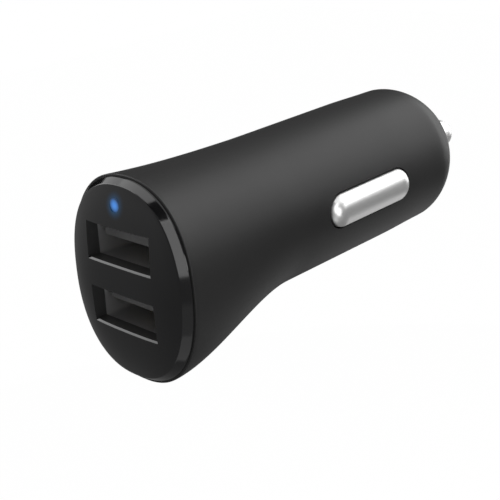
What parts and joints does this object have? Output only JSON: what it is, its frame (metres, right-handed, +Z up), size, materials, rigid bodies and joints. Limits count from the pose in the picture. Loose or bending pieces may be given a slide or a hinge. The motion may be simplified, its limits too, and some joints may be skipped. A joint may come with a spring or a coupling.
{
  "type": "car usb charger plug",
  "caption": "Twin USB-A charger plug for a car's 12 V socket: flared head with a crowned face, round barrel, sprung nose pin and sprung side contacts.",
  "frame": {"origin": "on the barrel's axis where the flared head meets the round barrel, the plane of the socket's rim", "axes": "+Y along the barrel toward its tip, +Z up with the ports stacked and the power light on top, +X the right side seen from behind the face"},
  "size_m": [0.0236, 0.0683, 0.027],
  "materials": {
    "soft_touch": "soft-touch black",
    "gloss_black": "polished black",
    "light_pipe": "clear, lit blue",
    "led_white": "LED body",
    "board": "green solder mask",
    "black_plastic": "moulded black",
    "ferrite": "dull ferrite",
    "copper": "enamelled copper",
    "capacitor": "sleeved",
    "ceramic": "glazed",
    "nickel": "satin nickel",
    "spring_steel": "drawn wire",
    "brass": "plain",
    "white_plastic": "natural nylon",
    "bronze": "spring temper",
    "can_steel": "black nickel",
    "gold": "gold plated"
  },
  "bodies": {
    "housing": {"body_shell": "soft_touch", "front_bezel": "gloss_black", "light_pipe": "light_pipe", "power_led": "led_white", "upper_usb_can": "can_steel", "upper_usb_tongue": "black_plastic", "upper_vbus_contact": "gold", "upper_data_minus_contact": "gold", "upper_data_plus_contact": "gold", "upper_ground_contact": "gold", "lower_usb_can": "can_steel", "lower_usb_tongue": "black_plastic", "lower_vbus_contact": "gold", "lower_data_minus_contact": "gold", "lower_data_plus_contact": "gold", "lower_ground_contact": "gold", "front_board": "board", "board_header": "black_plastic", "power_board": "board", "converter_chip": "black_plastic", "coil_core": "ferrite", "coil_winding": "copper", "input_capacitor": "capacitor", "output_capacitor": "capacitor", "fuse": "ceramic", "nose_spring": "spring_steel", "spring_seat": "brass", "contact_block": "white_plastic", "right_bow_spring": "bronze", "left_bow_spring": "bronze"},
    "centre_contact": {"centre_contact": "nickel"},
    "right_side_contact": {"right_side_contact": "nickel"},
    "left_side_contact": {"left_side_contact": "nickel"}
  },
  "joints": [
    {"name": "centre_contact_press", "type": "slide", "parent": "housing", "child": "centre_contact", "axis": [0, -1, 0], "range_m": [0, 0.0025], "stiffness_N_per_m": 1500, "springref_m": -0.001, "deforming": ["nose_spring"]},
    {"name": "right_side_contact_press", "type": "slide", "parent": "housing", "child": "right_side_contact", "axis": [-1, 0, 0], "range_m": [0, 0.00125], "stiffness_N_per_m": 3000, "springref_m": -0.0005, "deforming": ["right_bow_spring"]},
    {"name": "left_side_contact_press", "type": "slide", "parent": "housing", "child": "left_side_contact", "axis": [1, 0, 0], "range_m": [0, 0.00125], "stiffness_N_per_m": 3000, "springref_m": -0.0005, "deforming": ["left_bow_spring"]}
  ]
}
